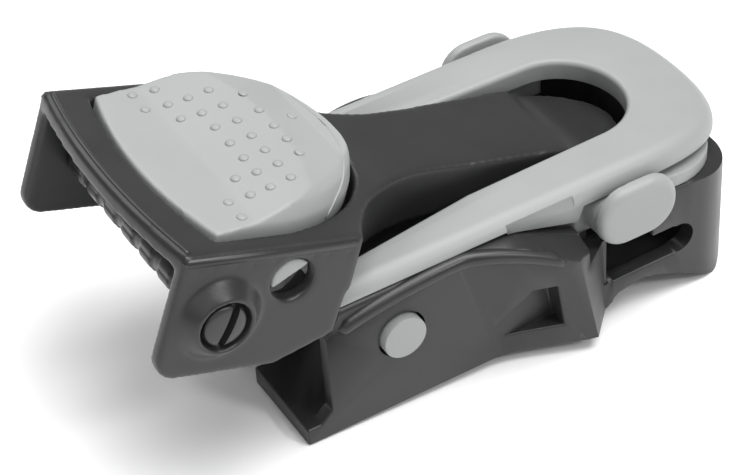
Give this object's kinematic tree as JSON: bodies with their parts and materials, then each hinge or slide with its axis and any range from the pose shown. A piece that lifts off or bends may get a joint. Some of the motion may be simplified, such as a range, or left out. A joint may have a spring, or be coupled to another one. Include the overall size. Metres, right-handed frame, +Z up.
{
  "type": "fin buckle",
  "caption": "Plastic buckle for a swim fin's heel strap: a clip-on base, a ring shaped yoke with side push buttons, and a hinged strap housing with a thumb pad.",
  "frame": {"origin": "centre of the whole buckle in plan, on the surface that it stands on", "axes": "+Z up, +X along the buckle from the strap housing to the rounded nose, +Y across it; the buckle is the same on both sides of y = 0"},
  "size_m": [0.0883, 0.0428, 0.0394],
  "materials": {
    "dark_plastic": "charcoal grey, semi-matte moulded plastic",
    "light_plastic": "light cool grey, satin moulded plastic",
    "axle_plastic": "near black, smooth moulded plastic",
    "pin_metal": "plain steel pin"
  },
  "bodies": {
    "frame": {"base": "dark_plastic", "yoke": "light_plastic", "clip_bow": "light_plastic", "pivot_pin": "pin_metal"},
    "housing": {"strap_housing": "dark_plastic", "axle_pin": "axle_plastic"},
    "pad": {"thumb_pad": "light_plastic"},
    "roller": {"strap_roller": "axle_plastic"},
    "button_far": {"button_far": "light_plastic"},
    "button_near": {"button_near": "light_plastic"}
  },
  "joints": [
    {"name": "housing_tilt", "type": "hinge", "parent": "frame", "child": "housing", "pos_m": [0.0187, 0, 0.01688], "axis": [0, 1, 0], "range_deg": [0, 12]},
    {"name": "pad_press", "type": "hinge", "parent": "housing", "child": "pad", "pos_m": [-0.02606, 0, 0.02983], "axis": [0, 1, 0], "range_deg": [0, 6], "stiffness_Nm_per_rad": 0.05, "springref_deg": -2.86},
    {"name": "roller_spin", "type": "hinge", "parent": "housing", "child": "roller", "pos_m": [-0.03606, 0, 0.02881], "axis": [0, 1, 0], "continuous": true},
    {"name": "button_far_press", "type": "slide", "parent": "frame", "child": "button_far", "axis": [0, -1, 0], "range_m": [0, 0.001], "stiffness_N_per_m": 1500, "springref_m": -0.001},
    {"name": "button_near_press", "type": "slide", "parent": "frame", "child": "button_near", "axis": [0, 1, 0], "range_m": [0, 0.001], "stiffness_N_per_m": 1500, "springref_m": -0.001}
  ]
}
